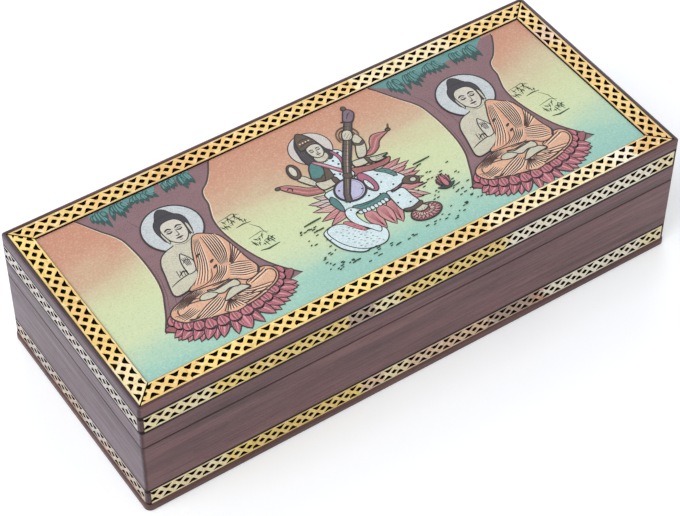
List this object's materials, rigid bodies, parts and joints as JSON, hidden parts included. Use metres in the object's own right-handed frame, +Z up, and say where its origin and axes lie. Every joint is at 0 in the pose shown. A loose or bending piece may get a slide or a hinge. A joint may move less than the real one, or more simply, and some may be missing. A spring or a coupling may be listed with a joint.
{
  "type": "keepsake box",
  "caption": "Rectangular hardwood box with a hinged lid, pierced inlay strips round its sides and top, and a painted panel set into the lid.",
  "frame": {"origin": "middle of the walls' plan, on the underside of the base plate", "axes": "+X along the long side, -Y out of the front, +Z up"},
  "size_m": [0.204, 0.0867, 0.0487],
  "materials": {
    "rosewood": "satin oiled",
    "base_wood": "satin",
    "plywood": "raw",
    "bone": "polished bone, satin",
    "painted_stone": "grainy stone-dust paint",
    "velvet": "velvet pile",
    "brass": "dull brass",
    "steel": "plain"
  },
  "bodies": {
    "base": {"base_plate": "base_wood", "base_brads": "steel", "front_wall": "rosewood", "right_wall": "rosewood", "back_wall": "rosewood", "left_wall": "rosewood", "base_strip_front": "bone", "base_strip_right": "bone", "base_strip_back": "bone", "base_strip_left": "bone", "floor_lining": "velvet", "front_lining": "velvet", "right_lining": "velvet", "back_lining": "velvet", "left_lining": "velvet", "left_hinge_base_leaf": "brass", "right_hinge_base_leaf": "brass", "left_hinge_pin": "brass", "right_hinge_pin": "brass", "base_leaf_screws": "brass"},
    "lid": {"lid_front_rail": "rosewood", "lid_right_rail": "rosewood", "lid_back_rail": "rosewood", "lid_left_rail": "rosewood", "lid_panel": "plywood", "picture_panel": "painted_stone", "lid_strip_front": "bone", "lid_strip_right": "bone", "lid_strip_back": "bone", "lid_strip_left": "bone", "top_strip_front": "bone", "top_strip_right": "bone", "top_strip_back": "bone", "top_strip_left": "bone", "lid_top_lining": "velvet", "lid_front_lining": "velvet", "lid_right_lining": "velvet", "lid_back_lining": "velvet", "lid_left_lining": "velvet", "left_hinge_lid_leaf": "brass", "right_hinge_lid_leaf": "brass", "lid_leaf_screws": "brass"}
  },
  "joints": [
    {"name": "lid_hinge", "type": "hinge", "parent": "base", "child": "lid", "pos_m": [0, 0.0421, 0.0308], "axis": [-1, 0, 0], "range_deg": [0, 100]}
  ]
}
